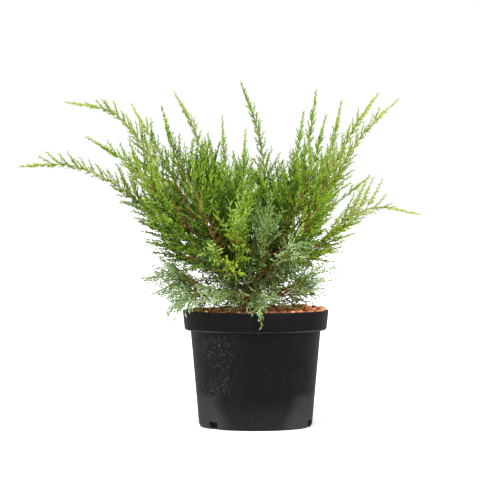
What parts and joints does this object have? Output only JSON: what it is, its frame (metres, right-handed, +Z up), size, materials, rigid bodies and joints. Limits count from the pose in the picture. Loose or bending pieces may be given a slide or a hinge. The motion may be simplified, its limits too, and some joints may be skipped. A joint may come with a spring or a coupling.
{
  "type": "potted sea green juniper",
  "caption": "Spreading, vase-shaped evergreen shrub with feathery arching sprays, growing in a tapered black nursery pot with a deep rim.",
  "frame": {"origin": "centre of the pot's flat underside", "axes": "+Z up; +X to the plant's right and -Y towards the viewer, as in the picture"},
  "size_m": [0.623, 0.398, 0.5448],
  "materials": {
    "pot_plastic": "moulded black, glossy, dusty",
    "bark_mulch": "coarse orange-brown bark chips on moist compost",
    "bark": "thin flaking reddish bark",
    "foliage_fresh": "bright yellow-green scale leaves",
    "foliage_green": "mid green scale leaves",
    "foliage_sea": "blue-green scale leaves"
  },
  "bodies": {
    "root": {"pot": "pot_plastic", "substrate": "bark_mulch", "trunk": "bark", "bough_left_high": "bark", "bough_left_long": "bark", "bough_left_mid": "bark", "bough_centre_back": "bark", "bough_right_high": "bark", "bough_right_back": "bark", "bough_right_mid": "bark", "bough_right_long": "bark", "bough_front_mid": "bark", "bough_front_right": "bark", "bough_low_left": "bark", "bough_low_right": "bark", "bough_front_low": "bark", "bough_back_mid": "bark", "bough_back_left": "bark", "bough_back_right": "bark", "bough_back_low": "bark", "foliage_left_crest": "foliage_fresh", "foliage_left_spire": "foliage_fresh", "foliage_left_plume": "foliage_green", "foliage_left_whip": "foliage_fresh", "foliage_left_fan": "foliage_green", "foliage_left_brush": "foliage_fresh", "foliage_left_tower": "foliage_green", "foliage_back_whip": "foliage_fresh", "foliage_centre_spire": "foliage_green", "foliage_centre_plume": "foliage_fresh", "foliage_right_crest": "foliage_fresh", "foliage_right_brush": "foliage_fresh", "foliage_right_tower": "foliage_green", "foliage_centre_whip": "foliage_green", "foliage_right_spire": "foliage_green", "foliage_right_plume": "foliage_fresh", "foliage_front_tower": "foliage_green", "foliage_right_tuft": "foliage_green", "foliage_right_whip": "foliage_fresh", "foliage_right_rise": "foliage_fresh", "foliage_front_plume": "foliage_fresh", "foliage_front_fan": "foliage_fresh", "foliage_front_dome": "foliage_sea", "foliage_front_skirt": "foliage_sea", "foliage_low_left_fan": "foliage_sea", "foliage_low_left_droop": "foliage_sea", "foliage_low_left_trail": "foliage_green", "foliage_low_right_fan": "foliage_sea", "foliage_low_right_skirt": "foliage_sea", "foliage_low_right_tuft": "foliage_sea", "foliage_front_trail": "foliage_sea", "foliage_front_hem": "foliage_sea", "foliage_back_plume": "foliage_fresh", "foliage_back_crest": "foliage_green", "foliage_back_left_whip": "foliage_fresh", "foliage_back_left_fan": "foliage_green", "foliage_back_right_whip": "foliage_fresh", "foliage_back_right_fan": "foliage_sea", "foliage_back_fan": "foliage_sea", "foliage_back_skirt": "foliage_sea"}
  },
  "joints": []
}
